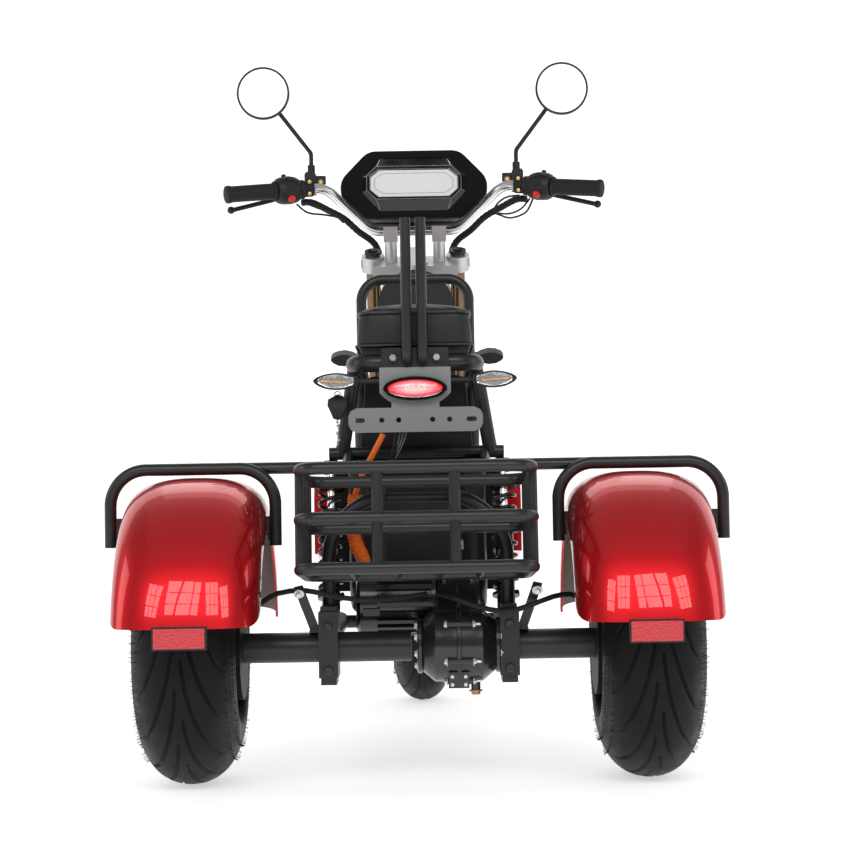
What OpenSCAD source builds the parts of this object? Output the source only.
// Three-wheeled electric scooter, an assembly of named pieces in one frame.
// Forward is +Y, right is +X, up is +Z, the ground is Z = 0.

/* [Layout] */
// Distance between the front and rear axles
wheelbase = 1400; // [1300:5:1500]
// Height of the axles over the ground
axle_z = 222; // [200:1:240]
// Rake of the fork from the vertical
rake = 26; // [20:0.5:32]
// Steering axis behind the fork legs
fork_offset = 38; // [30:1:45]
// Half of the spacing of the fork legs
fork_half = 92; // [90:1:100]

/* [Wheels] */
// Tyre outer radius
tyre_r = 222; // [210:1:230]
// Rear tyre width
rear_tyre_w = 168; // [150:1:178]
// Front tyre width
front_tyre_w = 134; // [110:1:136]
// Bead radius of the rims
bead_r = 102; // [96:1:108]
// Rear wheel centre from the middle plane
rear_wheel_x = 378; // [370:1:390]
// Half shaft diameter
shaft_d = 30; // [24:1:36]
// Front axle diameter
front_axle_d = 14; // [12:1:18]
// Radial running clearance of shafts
run_fit = 0.05; // [0.02:0.01:0.1]
// Radial gap of pieces that sit on a tube
sit_fit = 0.15; // [0.1:0.05:0.3]

/* [Rear axle] */
// Axle tube outer diameter
axle_tube_d = 50; // [44:1:56]
// Axle clamp position from the middle
clamp_x = 150; // [140:1:160]
// Axle clamp width
clamp_w = 32; // [24:1:40]
// Differential middle, to the right of the middle plane
diff_x = 59; // [50:1:64]
// Differential width
diff_w = 144; // [130:1:150]
// Differential radius
diff_r = 76; // [70:1:84]
// Motor radius
motor_r = 57; // [50:1:62]
// Motor length
motor_l = 96; // [80:1:110]
// Motor axis ahead of the rear axle
motor_y = 82; // [78:1:90]
// Motor axis over the ground
motor_z = 288; // [280:1:300]

/* [Rear fenders] */
// Fender outer radius
fender_r = 286; // [270:1:300]
// Fender width
fender_w = 234; // [215:1:236]
// Fender middle from the middle plane
fender_x = 366; // [360:1:374]
// Fender sheet thickness
fender_t = 4; // [3:0.5:6]
// Fender shoulder radius
fender_shoulder = 58; // [40:1:64]
// Fender skirt inner radius
fender_skirt_r = 198; // [190:1:210]
// Fender rear edge over the horizontal
fender_from = 10; // [5:1:20]
// Fender arc
fender_arc = 158; // [140:1:165]
// Guard rail tube diameter
guard_d = 20; // [16:1:24]
// Guard rail height
guard_z = 522; // [519:1:540]

/* [Basket] */
// Basket tube diameter of the rings
ring_d = 18; // [14:1:20]
// Basket upright diameter
upright_d = 15; // [10:1:16]
// Basket half width on the tube middle
basket_half = 181; // [165:1:190]
// Basket depth on the tube middle
basket_depth = 255; // [230:1:258]
// Basket rear wall behind the axle
basket_back = 276; // [272:1:278]
// Basket height on the tube middle
basket_h = 155; // [140:1:165]
// Basket tilt, lower at the front
basket_tilt = 4.5; // [0:0.5:6]

/* [Seat and tail] */
// Seat width
seat_w = 205; // [190:1:230]
// Seat top over the ground
seat_top = 805; // [780:1:820]
// Seat frame height
seat_frame_z = 702; // [695:1:710]
// Backrest stay tube diameter
stay_d = 16; // [14:1:18]
// Backrest stay spacing
stay_gap = 26; // [24:1:30]
// Backrest stay top over the ground
stay_top = 948; // [900:1:980]
// Licence bar width
plate_bar_w = 230; // [200:1:240]
// Licence bar height
plate_bar_h = 42; // [36:1:50]

/* [Handlebar] */
// Handlebar tube diameter
bar_d = 22; // [20:1:24]
// Grip diameter
grip_d = 35; // [30:1:38]
// Dash width
dash_w = 311; // [280:1:330]
// Dash height
dash_h = 165; // [140:1:180]
// Mirror diameter
mirror_d = 112; // [100:1:124]

/* [Hidden] */
$fn = 48;

// Overall length, so that the box is centred on the origin
front_fender_r = 238;
front_fender_from = 22;
reflector_back = fender_r + 8;
rear_ext = max(reflector_back, basket_back + basket_h * sin(basket_tilt) + (ring_d + 0.4) / 2);
front_ext = max(tyre_r, front_fender_r * cos(front_fender_from));
ry = rear_ext - (rear_ext + wheelbase + front_ext) / 2;
fy = ry + wheelbase;

// Heights along the fork, measured from the front axle
slider_top = 430;
lower_lo = 606;
lower_hi = 646;
head_lo = 649;
head_hi = 825;
top_lo = 828;
top_hi = 862;
stem_d = 32;
stanchion_d = 31;
slider_d = 38;
bar_s = 925;
bar_o = 20;
by = fy - sin(rake) * bar_s - cos(rake) * bar_o;
bz = axle_z + cos(rake) * bar_s - sin(rake) * bar_o;

// Colours
c_black = [0.06, 0.06, 0.065];
c_red = [0.62, 0.03, 0.05];
c_silver = [0.72, 0.73, 0.74];
c_rubber = [0.05, 0.05, 0.05];
c_vinyl = [0.16, 0.16, 0.17];
c_grey = [0.45, 0.46, 0.47];

function unit(v) = v / norm(v);
function lim(x) = max(-1, min(1, x));
function bend(a, b, c) = acos(lim(unit(b - a) * unit(c - b)));
function trim(p, i, r) = (i == 0 || i == len(p) - 1) ? 0 : r * tan(bend(p[i-1], p[i], p[i+1]) / 2);
function flip(p) = [for (q = p) [-q[0], q[1], q[2]]];
function rev(p) = [for (i = [len(p) - 1 : -1 : 0]) p[i]];
// A point given by its side, its height along the fork and its distance ahead of the legs
function fk(x, s, f) = [x, fy - sin(rake) * s + cos(rake) * f, axle_z + cos(rake) * s + sin(rake) * f];

module both() {
  children();
  mirror([1, 0, 0]) children();
}

module along(a, d) {
  z = unit(d);
  h = abs(z[2]) < 0.9 ? [0, 0, 1] : [0, 1, 0];
  x = unit(cross(h, z));
  y = cross(z, x);
  multmatrix([
    [x[0], y[0], z[0], a[0]], [x[1], y[1], z[1], a[1]], [x[2], y[2], z[2], a[2]], [0, 0, 0, 1]
  ]) children();
}

module rod(a, b, d) {
  along(a, b - a) cylinder(d = d, h = norm(b - a));
}

module elbow(p, u, v, r, d) {
  ang = acos(lim(u * v));
  n = unit(cross(u, v));
  s = p - u * r * tan(ang / 2);
  c = s + cross(n, u) * r;
  x = unit(s - c);
  multmatrix([
    [x[0], u[0], n[0], c[0]], [x[1], u[1], n[1], c[1]], [x[2], u[2], n[2], c[2]], [0, 0, 0, 1]
  ]) rotate_extrude(angle = ang) translate([r, 0]) circle(d = d);
}

// A bent tube: straight lengths run a little way into slightly swollen bends
module tube(p, d, r, swell = 0.4, run_in = 1.2) {
  last = len(p) - 1;
  for (i = [0 : last - 1]) {
    u = unit(p[i+1] - p[i]);
    a = p[i] + u * (i == 0 ? 0 : trim(p, i, r) - run_in);
    b = p[i+1] - u * (i + 1 == last ? 0 : trim(p, i + 1, r) - run_in);
    rod(a, b, d);
  }
  if (last > 1)
    for (i = [1 : last - 1])
      elbow(p[i], unit(p[i] - p[i-1]), unit(p[i+1] - p[i]), r, d + swell);
}

// A cord swept along hand-picked points
function mix(p, i) = p[max(0, min(len(p) - 1, i))];
function spot(p, i, t) = let (a = mix(p, i - 1), b = mix(p, i), c = mix(p, i + 1), d = mix(p, i + 2))
  0.5 * (2 * b + (c - a) * t + (2 * a - 5 * b + 4 * c - d) * t * t + (3 * b - a - 3 * c + d) * t * t * t);
function smooth(p, k) = concat(
  [for (i = [0 : len(p) - 2]) for (j = [0 : k - 1]) spot(p, i, j / k)], [p[len(p) - 1]]);
module cord(path, d, sides = 8) {
  n = len(path);
  ref = [0.31, 0.52, 0.79];
  pts = [for (i = [0 : n - 1]) let (
    t = unit(path[min(n - 1, i + 1)] - path[max(0, i - 1)]),
    x = unit(cross(ref, t)), y = cross(t, x))
    for (k = [0 : sides - 1]) path[i] + d / 2 * (cos(360 * k / sides) * x + sin(360 * k / sides) * y)];
  walls = [for (i = [0 : n - 2]) for (k = [0 : sides - 1]) let (m = (k + 1) % sides)
    [i * sides + k, (i + 1) * sides + k, (i + 1) * sides + m, i * sides + m]];
  caps = [[for (k = [0 : sides - 1]) k], [for (k = [sides - 1 : -1 : 0]) (n - 1) * sides + k]];
  polyhedron(pts, concat(walls, caps), convexity = 8);
}

module on_fork() {
  translate([0, fy, axle_z]) rotate([rake, 0, 0]) children();
}

module wheel_turn() {
  rotate([0, 90, 0]) rotate_extrude($fn = 72) children();
}

module block(x0, x1, y0, y1, z0, z1) {
  translate([x0, y0, z0]) cube([x1 - x0, y1 - y0, z1 - z0]);
}

// Frame

floor_z = 285;
floor_d = 40;
rail_x = 100;
rail_top = floor_z + floor_d / 2;
cross_y = ry + 165;
cross_z = 548;
strut_d = 22;
pivot_y = ry + 420;
arm_z = 240;
arm_d = 34;
pivot_d = 24;
neck = fk(0, 730, -fork_offset);
foot = [0, ry + 920, floor_z];

module floor_frame() {
  color(c_black) difference() {
    union() {
      on_fork() translate([0, -fork_offset, head_lo]) cylinder(d = 56, h = head_hi - head_lo);
      rod(neck, foot, 48);
      rod([-rail_x, foot[1], floor_z], [rail_x, foot[1], floor_z], floor_d + 1);
      for (s = [-1, 1])
        tube([[s * rail_x, foot[1], floor_z], [s * rail_x, cross_y, floor_z],
          [s * rail_x, cross_y, cross_z - strut_d / 2]], floor_d, 50);
      for (s = [-1, 1])
        block(s * rail_x - 6, s * rail_x + 6, pivot_y - 22, pivot_y + 22, arm_z - 22, floor_z);
    }
    on_fork() translate([0, -fork_offset, head_lo - 60]) cylinder(d = stem_d + 2 * run_fit, h = 300);
    rod([-rail_x - 40, pivot_y, arm_z], [rail_x + 40, pivot_y, arm_z], pivot_d + 2 * sit_fit);
  }
}

seat_rail_x = 105;
seat_rail_d = 28;
seat_rear_y = ry + 95;
seat_leg_y = ry + 500;

module seat_frame() {
  color(c_black) union() {
    tube([[rail_x, seat_leg_y, rail_top], [seat_rail_x, seat_leg_y, seat_frame_z],
      [seat_rail_x, seat_rear_y, seat_frame_z], [-seat_rail_x, seat_rear_y, seat_frame_z],
      [-seat_rail_x, seat_leg_y, seat_frame_z], [-rail_x, seat_leg_y, rail_top]], seat_rail_d, 48);
    rod([-168, cross_y, cross_z], [168, cross_y, cross_z], strut_d);
    for (s = [-1, 1])
      rod([s * 130, cross_y, cross_z], [s * seat_rail_x, seat_rear_y + 58, seat_frame_z], strut_d - 2);
  }
}

module swing_arm() {
  color(c_black) union() {
    for (s = [-1, 1])
      rod([s * clamp_x, ry + 45, arm_z], [s * clamp_x, pivot_y + 22, arm_z], arm_d);
    rod([-clamp_x - 20, pivot_y, arm_z], [clamp_x + 20, pivot_y, arm_z], pivot_d);
  }
}

hoop_y = ry + 26;
hoop_d = 22;
clamp_lo = 161;
clamp_hi = 290;

module rear_hoop() {
  color(c_black)
    tube([[-clamp_x, hoop_y, clamp_hi], [-clamp_x, hoop_y, 472], [clamp_x, hoop_y, 472],
      [clamp_x, hoop_y, clamp_hi]], hoop_d, 105);
}

module axle_clamps() {
  color(c_black) for (s = [-1, 1]) difference() {
    union() {
      block(s * clamp_x - clamp_w / 2, s * clamp_x + clamp_w / 2, ry - 38, ry + 45, clamp_lo + 12, clamp_hi - 8);
      block(s * clamp_x - clamp_w / 2 + 3, s * clamp_x + clamp_w / 2 - 3, ry - 30, ry + 40, clamp_lo, clamp_hi);
    }
    rod([s * clamp_x - clamp_w, ry, axle_z], [s * clamp_x + clamp_w, ry, axle_z], axle_tube_d + 2 * sit_fit);
  }
}

// Rear axle

tube_end = 292;
diff_l = diff_x - diff_w / 2;
diff_e = diff_x + diff_w / 2;

module axle_tubes() {
  color(c_black) difference() {
    union() {
      rod([diff_e, ry, axle_z], [tube_end, ry, axle_z], axle_tube_d);
      rod([-tube_end, ry, axle_z], [diff_l, ry, axle_z], axle_tube_d);
    }
    for (s = [-1, 1])
      rod([s * (tube_end + 20), ry, axle_z], [s * 226, ry, axle_z], shaft_d + 2 * run_fit);
  }
}

module differential() {
  color(c_black) union() {
    translate([diff_l, ry, axle_z]) wheel_turn() polygon([
      [0, 0], [34, 0], [38, 10], [diff_r - 12, 18], [diff_r - 4, 30], [diff_r, diff_w / 2 - 8],
      [diff_r + 8, diff_w / 2 - 8], [diff_r + 8, diff_w / 2 + 8], [diff_r, diff_w / 2 + 8],
      [diff_r - 4, diff_w - 30], [diff_r - 12, diff_w - 18], [38, diff_w - 10], [34, diff_w], [0, diff_w]]);
    rod([diff_l, ry + motor_y, motor_z], [diff_l + 62, ry + motor_y, motor_z], 2 * motor_r + 12);
    block(diff_l + 20, diff_e - 24, ry - 40, ry + 40, axle_z - diff_r - 6, axle_z);
    block(diff_l + 14, diff_l + 62, ry, ry + motor_y, axle_z, motor_z + 32);
    rod([diff_x + 22, ry - 12, axle_z - diff_r - 14], [diff_x + 22, ry - 12, axle_z - 40], 16);
  }
}

module drive_motor() {
  color(c_black) translate([diff_l - motor_l, ry + motor_y, motor_z]) wheel_turn() polygon(concat(
    [[0, 0], [motor_r - 10, 0], [motor_r - 2, 6], [motor_r - 2, 34], [motor_r - 6, 36]],
    [for (i = [0 : 4]) each [[motor_r - 6, 42 + 10 * i], [motor_r, 42 + 10 * i],
      [motor_r, 47 + 10 * i], [motor_r - 6, 47 + 10 * i]]],
    [[motor_r - 6, motor_l], [0, motor_l]]));
}

module rear_brake_plates() {
  color(c_silver) for (s = [-1, 1]) difference() {
    union() {
      rod([s * tube_end, ry, axle_z], [s * (tube_end + 8), ry, axle_z], 170);
      rod([s * (tube_end - 14), ry - 6, axle_z + 66], [s * (tube_end + 4), ry - 6, axle_z + 66], 22);
    }
    rod([s * (tube_end - 10), ry, axle_z], [s * (tube_end + 20), ry, axle_z], shaft_d + 8);
  }
}

shock_lo = [clamp_x, ry + 85, arm_z + arm_d / 2 + 13];
shock_hi = [clamp_x, cross_y, cross_z - strut_d / 2 - 13];

module shock_absorbers() {
  l = norm(shock_hi - shock_lo);
  coils = 9;
  pitch = (l - 82) / coils;
  color(c_black) both() union() {
    for (e = [shock_lo, shock_hi])
      rod(e - [12, 0, 0], e + [12, 0, 0], 26);
    along(shock_lo, shock_hi - shock_lo) rotate_extrude() polygon(concat(
      [[0, 0], [9, 0], [9, 26], [24, 28], [24, 34]],
      [for (i = [0 : coils - 1]) each [[19, 36 + i * pitch], [23, 36 + (i + 0.3) * pitch],
        [23, 36 + (i + 0.65) * pitch], [19, 36 + (i + 0.95) * pitch]]],
      [[24, l - 44], [24, l - 36], [11, l - 34], [11, l], [0, l]]));
  }
}

// Body

box_y0 = ry + 216;
box_y1 = ry + 470;
box_half = 146;

module battery_box() {
  color(c_black) union() {
    block(-box_half, box_half, box_y0, box_y1, rail_top, 520);
    block(-box_half + 26, box_half - 26, box_y0 + 4, box_y1 - 10, 510, 545);
  }
}

module side_covers() {
  color(c_red) both() difference() {
    translate([box_half, 0, 0]) rotate([90, 0, 90]) linear_extrude(38)
      polygon([[box_y0 + 6, 372], [box_y1 - 20, 350], [box_y1 + 10, 430], [box_y1 - 16, 505],
        [box_y0 + 30, 505], [box_y0 + 6, 470]]);
    block(box_half - 1, box_half + 34, box_y0 + 16, box_y1 - 30, 384, 492);
  }
}

module controller_box() {
  color(c_black) union() {
    block(-70, 70, ry + 524, ry + 606, rail_top + 8, 420);
    for (i = [0 : 5])
      block(-60 + 22 * i, -50 + 22 * i, ry + 530, ry + 600, 419, 428);
  }
}

module footboard() {
  color(c_black) union() {
    block(-165, 165, ry + 522, ry + 892, rail_top, rail_top + 8);
    for (i = [0 : 6])
      block(-150 + 48 * i, -138 + 48 * i, ry + 620, ry + 820, rail_top + 7, rail_top + 11);
  }
}

shield_y = ry + 832;
shield_top = 944;
shield_r = 80;

module leg_shield() {
  color(c_black) translate([0, shield_y + 56, 0]) rotate([90, 0, 0]) linear_extrude(56) union() {
    translate([-shield_r, rail_top + 8]) square([2 * shield_r, shield_top - shield_r - rail_top - 8]);
    translate([0, shield_top - shield_r]) circle(r = shield_r, $fn = 64);
  }
}

pan_z = seat_frame_z + seat_rail_d / 2 + 0.2;
seat_y0 = ry + 86;
seat_y1 = ry + 520;

module seat_pan() {
  color(c_black) block(-seat_w / 2 + 12, seat_w / 2 - 12, seat_y0 + 14, seat_y1 - 20, pan_z, pan_z + 12);
}

module seat_cushion() {
  lo = pan_z + 12;
  color(c_vinyl) hull() {
    for (s = [-1, 1]) {
      translate([s * (seat_w / 2 - 24), seat_y0 + 26, lo]) cylinder(r = 24, h = 24, $fn = 24);
      translate([s * (seat_w / 2 - 30), seat_y0 + 32, seat_top - 22]) sphere(r = 22, $fn = 24);
      translate([s * (seat_w / 2 - 48), seat_y1 - 40, lo]) cylinder(r = 36, h = 20, $fn = 24);
      translate([s * (seat_w / 2 - 46), seat_y1 - 50, seat_top - 36]) sphere(r = 22, $fn = 24);
      translate([s * (seat_w / 2 - 30), ry + 300, seat_top - 24]) sphere(r = 20, $fn = 24);
    }
  }
}

module grab_hoop() {
  top = 893;
  color(c_black) union() {
    tube([[-104, seat_leg_y - 50, pan_z + 10], [-104, seat_leg_y + 44, pan_z + 10],
      [-104, seat_leg_y + 44, top], [104, seat_leg_y + 44, top],
      [104, seat_leg_y + 44, pan_z + 10], [104, seat_leg_y - 50, pan_z + 10]], 20, 42);
  }
}

plate_y = ry + 74;
tail_half = 58;

module tail_plate() {
  color(c_black) union() {
    block(-tail_half, tail_half, plate_y, plate_y + 7, 640, 726);
    for (s = [-1, 1])
      rod([s * 37, plate_y + 1, 708], [s * 37, plate_y - 7, 708], 15);
  }
}

module backrest_stays() {
  stay_y = plate_y - 14;
  color(c_black) for (s = [-1, 1]) difference() {
    union() {
      tube([[s * stay_gap / 2, plate_y, 702], [s * stay_gap / 2, stay_y, 702],
        [s * stay_gap / 2, stay_y - 1, stay_top - 66]], stay_d, 12);
      block(s * stay_gap / 2 - 11, s * stay_gap / 2 + 11, stay_y - 4.5, stay_y + 2.5, stay_top - 74, stay_top);
    }
    for (z = [stay_top - 14, stay_top - 46])
      rod([s * stay_gap / 2, stay_y - 20, z], [s * stay_gap / 2, stay_y + 20, z], 8.4);
  }
}

bracket_t = 4;
bar_mid_z = 602;

module licence_bracket() {
  end = plate_bar_w / 2;
  lo = bar_mid_z - plate_bar_h / 2;
  hi = bar_mid_z + plate_bar_h / 2;
  half = [[41, hi], [end - 14, hi], [end - 4, hi - 5], [end, hi - 14], [end, lo + 14], [end - 4, lo + 5],
    [end - 14, lo]];
  color(c_grey) translate([0, plate_y, 0]) rotate([90, 0, 0]) linear_extrude(bracket_t) difference() {
    polygon(concat([[-61, 692], [61, 692], [61, 648], [48, 636], [41, 632]], half,
      [for (i = [len(half) - 1 : -1 : 0]) [-half[i][0], half[i][1]]],
      [[-41, 632], [-48, 636], [-61, 648]]));
    for (s = [-1, 1]) {
      translate([s * 96 - 5, bar_mid_z]) circle(d = 8, $fn = 24);
      translate([s * 96 + 5, bar_mid_z]) circle(d = 8, $fn = 24);
      translate([s * 96 - 5, bar_mid_z - 4]) square([10, 8]);
      translate([s * 58, bar_mid_z]) circle(d = 9, $fn = 24);
      translate([s * 29, bar_mid_z]) circle(d = 9, $fn = 24);
    }
  }
}

lamp_z = 655;

module tail_lamp() {
  lens = [for (i = [0 : 39]) [52 * cos(9 * i), 18 * sin(9 * i)]];
  rim = [for (i = [0 : 39]) [55 * cos(9 * i), 21 * sin(9 * i)]];
  color(c_red) translate([0, plate_y - bracket_t, lamp_z]) rotate([90, 0, 0]) union() {
    linear_extrude(20) polygon(rim);
    linear_extrude(26) polygon(lens);
  }
}

function leaf(l, h) = [[0, -0.2 * h], [0.12 * l, -0.36 * h], [0.4 * l, -0.5 * h], [0.7 * l, -0.44 * h],
  [0.92 * l, -0.2 * h], [l, 0.04 * h], [0.93 * l, 0.25 * h], [0.7 * l, 0.45 * h], [0.4 * l, 0.5 * h],
  [0.12 * l, 0.34 * h], [0, 0.2 * h]];

module rear_signals() {
  color(c_black) both() union() {
    block(tail_half, 110, plate_y, plate_y + 6, 662, 676);
    translate([98, plate_y + 10, 669]) rotate([90, 0, 0]) linear_extrude(30) polygon(leaf(76, 29));
  }
}

module ignition_key() {
  x = -126;
  color(c_black) union() {
    rod([x, ry + 147.3, 638], [x, ry + 122, 638], 24);
    block(x - 3, x + 3, ry + 98, ry + 123, 632, 644);
    block(x - 9, x + 9, ry + 94, ry + 103, 570, 648);
  }
}

// Rear fenders and guard

module fender_section() {
  h = fender_w / 2;
  s = fender_shoulder;
  module shape(g) {
    translate([0, -h + s]) square([fender_r - g, fender_w - 2 * s]);
    translate([0, -h + g]) square([fender_r - s, fender_w - 2 * g]);
    for (k = [-1, 1])
      translate([fender_r - s, k * (h - s)]) circle(r = s - g, $fn = 64);
  }
  difference() {
    shape(0);
    shape(fender_t);
    translate([-1, -h - 1]) square([fender_skirt_r + 1, fender_w + 2]);
  }
}

module one_fender(s) {
  translate([s * fender_x, ry, axle_z]) rotate([0, 90, 0])
    rotate([0, 0, 270 - fender_from - fender_arc])
      rotate_extrude(angle = fender_arc, $fn = 96) fender_section();
}

module fender_left() {
  color(c_red) one_fender(-1);
}

module fender_right() {
  color(c_red) one_fender(1);
}

loop_in = 236;
loop_out = 511;
loop_y = ry - 9;
loop_lo = 393;

module guard_rail() {
  color(c_black) union() {
    rod([-448, ry + 9, guard_z], [448, ry + 9, guard_z], guard_d);
    for (s = [-1, 1])
      tube([[s * loop_in, loop_y, loop_lo], [s * loop_in, loop_y, guard_z],
        [s * loop_out, loop_y, guard_z], [s * loop_out, loop_y, loop_lo]], guard_d, 60);
    for (s = [-1, 1])
      rod([s * 118, ry + 9, guard_z], [s * 118, cross_y - strut_d / 2 - 0.1, cross_z - 2], 16);
  }
}

module fender_brackets() {
  fin = fender_x - fender_w / 2;
  fout = fender_x + fender_w / 2;
  color(c_black) both() union() {
    block(loop_in + guard_d / 2, fin, loop_y - 5, loop_y + 5, 402, 442);
    block(fout, loop_out - guard_d / 2, loop_y - 5, loop_y + 5, 402, 442);
  }
}

module reflectors() {
  z1 = axle_z + fender_r * sin(fender_from) + 6;
  color(c_red) both() union() {
    block(fender_x - 45, fender_x + 45, ry - reflector_back, ry - reflector_back + 9, z1 - 42, z1 - 8);
    block(fender_x - 20, fender_x + 20, ry - reflector_back + 4, ry - reflector_back + 12.2, z1 - 20, z1 + 6);
  }
}

// Basket

module ring(z) {
  h = basket_half;
  d = basket_depth;
  r = 36;
  tube([[0, 0, z], [h, 0, z], [h, d, z], [-h, d, z], [-h, 0, z], [0, 0, z]], ring_d, r);
  rod([-8, 0, z], [8, 0, z], ring_d + 0.4);
}

module basket() {
  color(c_black) translate([0, ry - basket_back, 516]) rotate([-basket_tilt, 0, 0]) union() {
    for (k = [0 : 2])
      ring(-basket_h * k / 2);
    for (x = [-60, 60]) for (y = [0, basket_depth])
      rod([x, y, 2], [x, y, -basket_h - 2], upright_d);
    for (s = [-1, 1]) for (y = [46, basket_depth / 2, basket_depth - 46])
      rod([s * basket_half, y, 2], [s * basket_half, y, -basket_h - 2], upright_d);
    for (s = [-1, 1]) for (y = [0, basket_depth])
      rod([s * 138, y, 2], [s * 138, y, -basket_h - 2], upright_d);
    for (x = [-103, -34, 34, 103])
      rod([x, -2, -basket_h], [x, basket_depth + 2, -basket_h], upright_d - 2);
  }
}

module basket_straps() {
  z0 = axle_z + axle_tube_d / 2;
  run = basket_depth - 40;
  zb = 516 - run * sin(basket_tilt) - basket_h * cos(basket_tilt) - ring_d / 2 - 0.8;
  yb = ry - basket_back + run * cos(basket_tilt) - basket_h * sin(basket_tilt);
  color(c_black) both() translate([168, 0, 0]) rotate([90, 0, 90]) linear_extrude(26)
    polygon([[ry - 14, z0], [ry + 16, z0], [ry + 16, z0 + 5], [ry - 10, z0 + 5], [yb + 7, zb - 6], [yb + 7, zb],
      [yb - 7, zb], [yb - 7, zb - 6], [yb, zb - 7]]);
}

// Cables held all the way

conduit_thin = [[-56, ry + 70, 578], [-72, ry + 76, 548], [-92, ry + 84, 512], [-106, ry + 86, 476]];
conduit_thick = [[-106, ry + 86, 476], [-109, ry + 84, 440], [-108, ry + 82, 400], [-94, ry + 82, 366],
  [-84, ry + 82, motor_z + motor_r + 4.6]];

module power_conduit() {
  color([0.95, 0.35, 0.03]) union() {
    cord(smooth(conduit_thin, 2), 10, 10);
    cord(smooth(conduit_thick, 3), 25, 12);
  }
}

hose_left = [[-275, ry - 6, 288], [-258, ry - 18, 300], [-232, ry - 34, 314], [-190, ry - 44, 319],
  [-150, ry - 44, 311], [-100, ry - 44, 302], [-40, ry - 26, 302], [14, ry - 3.4, 308]];
hose_right = [[275, ry - 6, 288], [254, ry - 20, 304], [222, ry - 48, 302], [180, ry - 62, 288],
  [140, ry - 56, 279], [92, ry - 52, 290], [59, ry - 48, 302], [32, ry - 3.4, 308]];

module brake_hoses() {
  color(c_rubber) {
    cord(smooth(hose_left, 2), 9, 8);
    cord(smooth(hose_right, 2), 9, 8);
  }
}

// Fork and steering

module clamp_body(z0, z1, ring_r) {
  difference() {
    union() {
      for (s = [-1, 1])
        translate([s * fork_half, 0, z0]) cylinder(r = ring_r, h = z1 - z0);
      translate([0, -fork_offset, z0]) cylinder(r = 27, h = z1 - z0);
      translate([-fork_half, -fork_offset - 18, z0 + 6]) cube([2 * fork_half, fork_offset + 28, z1 - z0 - 12]);
      for (s = [-1, 1])
        translate([s * (fork_half + ring_r - 8) - 9, -9, z0 + 8]) cube([18, 18, z1 - z0 - 16]);
    }
    for (s = [-1, 1])
      translate([s * fork_half, 0, z0 - 1]) cylinder(d = stanchion_d + 2 * sit_fit, h = z1 - z0 + 2);
    children();
  }
}

module lower_clamp() {
  color(c_silver) on_fork() union() {
    clamp_body(lower_lo, lower_hi, 24);
    translate([0, -fork_offset, lower_hi - 2]) cylinder(d = stem_d, h = top_lo - lower_hi + 2);
  }
}

module top_clamp() {
  color(c_silver) on_fork() clamp_body(top_lo, top_hi, 25);
}

module stanchions() {
  color([0.5, 0.36, 0.2]) on_fork() for (s = [-1, 1])
    translate([s * fork_half, 0, slider_top]) cylinder(d = stanchion_d, h = top_hi + 4 - slider_top);
}

module fork_caps() {
  color(c_black) on_fork() for (s = [-1, 1])
    translate([s * fork_half, 0, top_hi + 4]) union() {
      cylinder(d = 36, h = 7);
      cylinder(d = 20, h = 10, $fn = 6);
    }
}

module fork_sliders() {
  color(c_silver) on_fork() for (s = [-1, 1]) difference() {
    union() {
      translate([s * fork_half, 0, -6]) cylinder(d = slider_d, h = slider_top + 6);
      translate([s * fork_half, 0, slider_top - 30]) cylinder(d = slider_d + 5, h = 24);
      translate([s * fork_half - 19.5, -22, -22]) cube([39, 44, 54]);
    }
    rod([s * (fork_half - 40), 0, 0], [s * (fork_half + 40), 0, 0], front_axle_d + 2 * sit_fit);
  }
}

hub_half = 56;

module front_axle() {
  x1 = fork_half + 19.5;
  color(c_silver) translate([0, fy, axle_z]) union() {
    rod([-x1 - 14, 0, 0], [x1 + 14, 0, 0], front_axle_d);
    for (s = [-1, 1]) {
      rod([s * x1, 0, 0], [s * (x1 + 10), 0, 0], 26);
      rod([s * (hub_half + 6), 0, 0], [s * (fork_half - 19.5), 0, 0], 24);
    }
    rod([-hub_half - 6, 0, 0], [-hub_half - 13, 0, 0], 120);
  }
}

module front_fender() {
  w = front_tyre_w / 2 + 1;
  r = front_fender_r;
  reach = fork_half - slider_d / 2 - 0.1;
  color(c_red) union() {
    translate([0, fy, axle_z]) rotate([0, 90, 0]) rotate([0, 0, 90 + front_fender_from])
      rotate_extrude(angle = 130, $fn = 96) polygon([
        [r - 9, -w], [r - 3, -0.8 * w], [r, -0.35 * w], [r, 0.35 * w], [r - 3, 0.8 * w], [r - 9, w],
        [r - 12, w], [r - 6, 0.8 * w], [r - 3, 0.35 * w], [r - 3, -0.35 * w], [r - 6, -0.8 * w], [r - 12, -w]]);
    on_fork() for (s = [-1, 1])
      translate([s * (w - 1.5 + reach) / 2, 0, r - 7]) cube([reach - w + 1.5, 24, 8], center = true);
  }
}

lamp_back = fk(0, 742, 62);

module headlamp() {
  color(c_silver) union() {
    translate(lamp_back) rotate([-90, 0, 0]) rotate_extrude($fn = 64) polygon([
      [0, 0], [42, 0], [70, 26], [78, 62], [82, 62], [82, 76], [76, 78], [60, 84], [0, 88]]);
    on_fork() for (z = [lower_hi - 14, top_lo + 20])
      translate([-16, 10, z - 6]) cube([32, 66, 12]);
    on_fork() translate([-16, 62, lower_hi - 20]) cube([32, 14, top_lo + 26 - lower_hi + 20]);
  }
}

module front_signals() {
  x0 = fork_half + 25;
  color(c_black) on_fork() both() union() {
    translate([x0, -6, 617]) cube([24, 12, 14]);
    translate([x0 + 18, 12, 624]) rotate([90, 0, 0]) linear_extrude(28) polygon(leaf(56, 28));
  }
}

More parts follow.
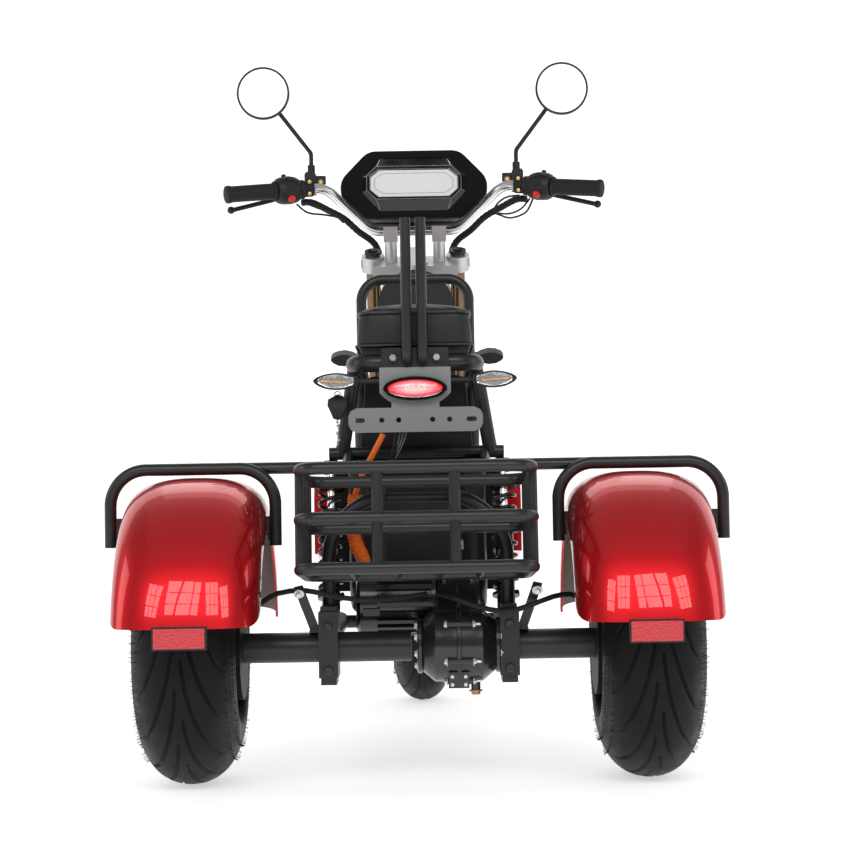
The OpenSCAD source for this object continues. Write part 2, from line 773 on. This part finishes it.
module risers() {
  color(c_silver) on_fork() for (s = [-1, 1]) difference() {
    union() {
      translate([s * 52, -bar_o, top_hi - 6]) cylinder(d = 26, h = bar_s - top_hi);
      translate([s * 52 - 15, -bar_o - 17, bar_s - 20]) cube([30, 34, 38]);
      for (f = [-12, 12])
        translate([s * 52, -bar_o + f, bar_s + 16]) cylinder(d = 8, h = 6);
    }
    translate([0, 0, bar_s]) rod([s * 20, -bar_o, 0], [s * 90, -bar_o, 0], bar_d + 2 * sit_fit);
  }
}

bar_a = [92, by, bz];
bar_b = [190, by - 14, 1138];
bar_e = [396, by - 104, 1113];
bar_u = unit(bar_e - bar_b);
grip_l = 112;
grip_a = bar_e - bar_u * grip_l;
switch_l = 60;

module handlebar() {
  right = [bar_a, bar_b, grip_a];
  color(c_silver) union() {
    tube(concat(flip(rev(right)), right), bar_d, 48);
    rod([-132, by - 5, 1084], [132, by - 5, 1084], 12);
  }
}

module grips() {
  color(c_rubber) both() union() {
    rod(grip_a, bar_e, grip_d);
    rod(grip_a, grip_a + bar_u * 5, grip_d + 8);
    rod(bar_e - bar_u * 5, bar_e, grip_d + 3);
  }
}

module switches() {
  color(c_black) both() difference() {
    along(grip_a, -bar_u) union() {
      translate([-24, -30, 0.3]) cube([46, 62, switch_l - 0.3]);
      translate([-17, -15, 0.3]) cube([34, 36, switch_l + 5]);
    }
    rod(grip_a - bar_u * (switch_l + 40), grip_a + bar_u, bar_d + 2 * sit_fit);
  }
}

perch = bar_b + bar_u * 39.8;

module brake_levers() {
  color(c_black) both() difference() {
    union() {
      along(perch - bar_u * 9, bar_u) cylinder(d = 34, h = 18);
      block(perch[0] - 16, perch[0] + 8, perch[1] + 4, perch[1] + 44, perch[2] - 8, perch[2] + 34);
      block(perch[0] - 14, perch[0] + 6, perch[1] + 8, perch[1] + 42, perch[2] + 33, perch[2] + 38);
      tube([[perch[0] - 4, perch[1] + 40, perch[2] + 2], [perch[0] + 44, perch[1] + 44, perch[2] - 8],
        [388, by - 48, 1088]], 10, 40);
      translate([390, by - 49, 1088]) sphere(d = 16, $fn = 32);
    }
    rod(perch - bar_u * 60, perch + bar_u * 60, bar_d + 2 * sit_fit);
  }
}

mirror_c = [318, by - 44, 1336];
stem_foot = [perch[0] - 6, perch[1] + 24, perch[2] + 38.1];

module mirror_stems() {
  lay = mirror_c[1] + 16.8;
  color(c_black) both() union() {
    tube([stem_foot, stem_foot + [0, 0, 42], [286, lay, 1298], [mirror_c[0] - 12, lay, mirror_c[2] - 14]], 9, 16);
    rod(stem_foot, stem_foot + [0, 0, 16], 16);
  }
}

module mirror_heads() {
  color(c_black) both() translate(mirror_c) rotate([90, 0, 0]) difference() {
    rotate_extrude($fn = 64) polygon([[0, -12], [30, -12], [50, -6], [mirror_d / 2, 4], [mirror_d / 2, 14],
      [mirror_d / 2 - 4, 14], [mirror_d / 2 - 4, 11], [0, 11]]);
  }
}

module mirror_glass() {
  color([0.9, 0.92, 0.95]) both() translate(mirror_c) rotate([90, 0, 0])
    translate([0, 0, 11]) cylinder(d = mirror_d - 8.6, h = 2, $fn = 64);
}

dash_c = [0, by - 76, 1133];
dash_lean = 24;

function octagon(w, h, a, b) = [[-a * w / 2, -h / 2], [a * w / 2, -h / 2], [w / 2, -b * h / 2], [w / 2, b * h / 2],
  [a * w / 2, h / 2], [-a * w / 2, h / 2], [-w / 2, b * h / 2], [-w / 2, -b * h / 2]];

module on_dash() {
  translate(dash_c) rotate([90 - dash_lean, 0, 0]) children();
}

bar_in_dash_z = -76 * cos(dash_lean) - (1133 - bz) * sin(dash_lean);
bar_in_dash_y = 76 * sin(dash_lean) - (1133 - bz) * cos(dash_lean);

module dash_housing() {
  color(c_black) on_dash() difference() {
    union() {
      translate([0, 0, -16]) linear_extrude(16) polygon(octagon(dash_w, dash_h, 0.63, 0.22));
      translate([0, 0, -46]) linear_extrude(31) polygon(octagon(dash_w - 44, dash_h - 34, 0.63, 0.22));
      for (s = [-1, 1])
        translate([s * 22 - 9, bar_in_dash_y - 9, bar_in_dash_z + bar_d / 2]) cube([18, 18, -46 - bar_in_dash_z]);
    }
    translate([0, 0, -7]) linear_extrude(20) polygon(octagon(216, 130, 0.66, 0.3));
    translate([0, 8, -12]) linear_extrude(20) polygon(octagon(196, 78, 0.8, 0.45));
  }
}

module dash_display() {
  color([0.92, 0.93, 0.93]) on_dash() translate([0, 8, -12]) linear_extrude(4)
    polygon(octagon(184, 66, 0.8, 0.45));
}

loom_a = grip_a - bar_u * (switch_l + 0.4) + [1, 9, -27];
loom = [loom_a, loom_a - bar_u * 24 + [0, 2, -2], [184, by + 14, 1092], [152, by + 32, 1076], [122, by + 46, 1050],
  fk(88, 872, 46), fk(70, 818, 48), fk(52, 778, 44), lamp_back + [34, -30, 6], lamp_back + [30, -1.4, 0]];

module cable_looms() {
  color(c_black) {
    cord(smooth(loom, 3), 15, 8);
    cord(smooth(flip(loom), 3), 15, 8);
  }
}

// Wheels

function tyre_half(w, r) = [[r, 0], [r - 2.2, 0.11 * w], [r - 6.5, 0.19 * w], [r - 14, 0.27 * w],
  [r - 25, 0.345 * w], [r - 40, 0.41 * w], [r - 60, 0.465 * w], [r - 82, 0.498 * w], [r - 98, 0.485 * w],
  [bead_r + 14, 0.44 * w], [bead_r + 13, 0.33 * w], [bead_r, 0.33 * w]];
function tyre_profile(w, r) = concat(tyre_half(w, r), [for (q = rev(tyre_half(w, r))) if (q[1] > 0) [q[0], -q[1]]]);

module tyre(w) {
  wheel_turn() polygon(tyre_profile(w, tyre_r));
}

module front_tyre() {
  color(c_rubber) translate([0, fy, axle_z]) tyre(front_tyre_w);
}

module left_tyre() {
  color(c_rubber) translate([-rear_wheel_x, ry, axle_z]) tyre(rear_tyre_w);
}

module right_tyre() {
  color(c_rubber) translate([rear_wheel_x, ry, axle_z]) tyre(rear_tyre_w);
}

module front_rim() {
  e = 0.33 * front_tyre_w + 0.3;
  i = bead_r - 7;
  o = bead_r - 0.2;
  f = bead_r + 12;
  b = front_axle_d / 2 + run_fit;
  color(c_silver) translate([0, fy, axle_z]) wheel_turn() polygon([
    [b, -hub_half], [34, -hub_half], [46, -20], [i, -6], [i, -e - 4], [f, -e - 4], [f, -e], [o, -e],
    [o, e], [f, e], [f, e + 4], [i, e + 4], [i, 6], [46, 20], [34, hub_half], [b, hub_half]]);
}

module rear_rim() {
  e = 0.33 * rear_tyre_w + 0.3;
  i = bead_r - 7;
  o = bead_r - 0.2;
  f = bead_r + 12;
  in = rear_wheel_x - 242;
  wheel_turn() polygon([
    [0, -in], [shaft_d / 2, -in], [shaft_d / 2, -60], [46, -60], [46, 4], [i, 12], [i, -e - 4], [f, -e - 4],
    [f, -e], [o, -e], [o, e], [f, e], [f, e + 4], [i, e + 4], [i, 22], [46, 16], [46, 36], [30, 42], [0, 42]]);
}

module right_rim() {
  color(c_silver) translate([rear_wheel_x, ry, axle_z]) rear_rim();
}

module left_rim() {
  color(c_silver) translate([-rear_wheel_x, ry, axle_z]) mirror([1, 0, 0]) rear_rim();
}

floor_frame();
seat_frame();
swing_arm();
rear_hoop();
axle_clamps();
axle_tubes();
differential();
drive_motor();
rear_brake_plates();
shock_absorbers();
battery_box();
side_covers();
controller_box();
footboard();
leg_shield();
seat_cushion();
seat_pan();
grab_hoop();
backrest_stays();
tail_plate();
licence_bracket();
tail_lamp();
rear_signals();
ignition_key();
fender_left();
fender_right();
guard_rail();
fender_brackets();
reflectors();
basket();
basket_straps();
power_conduit();
brake_hoses();
lower_clamp();
top_clamp();
stanchions();
fork_caps();
fork_sliders();
front_axle();
front_fender();
headlamp();
front_signals();
risers();
handlebar();
grips();
switches();
brake_levers();
mirror_stems();
mirror_heads();
mirror_glass();
dash_housing();
dash_display();
cable_looms();
front_tyre();
front_rim();
left_tyre();
left_rim();
right_tyre();
right_rim();
